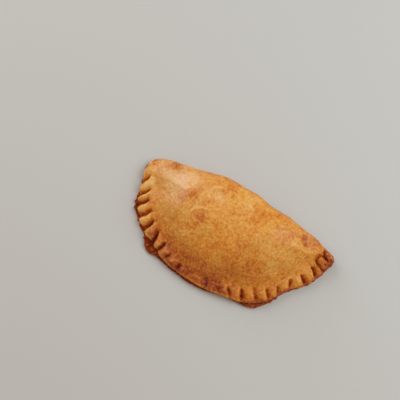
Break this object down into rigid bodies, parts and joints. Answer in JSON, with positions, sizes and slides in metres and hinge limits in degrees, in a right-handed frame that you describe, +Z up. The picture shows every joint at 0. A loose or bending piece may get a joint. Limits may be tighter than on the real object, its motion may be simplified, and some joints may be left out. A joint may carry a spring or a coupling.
{
  "type": "half-moon meat pasty",
  "caption": "Uncut baked half-moon pasty: a domed body of folded dough with a rounded fold along one side and a crimped two-layer rim around the other, on a flat base.",
  "frame": {"origin": "on the flat base, under the middle of the bounding box", "axes": "+X along the pasty towards its rolled right corner, +Y across it towards the fold, +Z up"},
  "size_m": [0.198, 0.1018, 0.037],
  "materials": {
    "crust": "golden-brown baked shortcrust with a thin satin egg wash, darker along the crimps"
  },
  "bodies": {
    "root": {"pasty": "crust"}
  },
  "joints": []
}
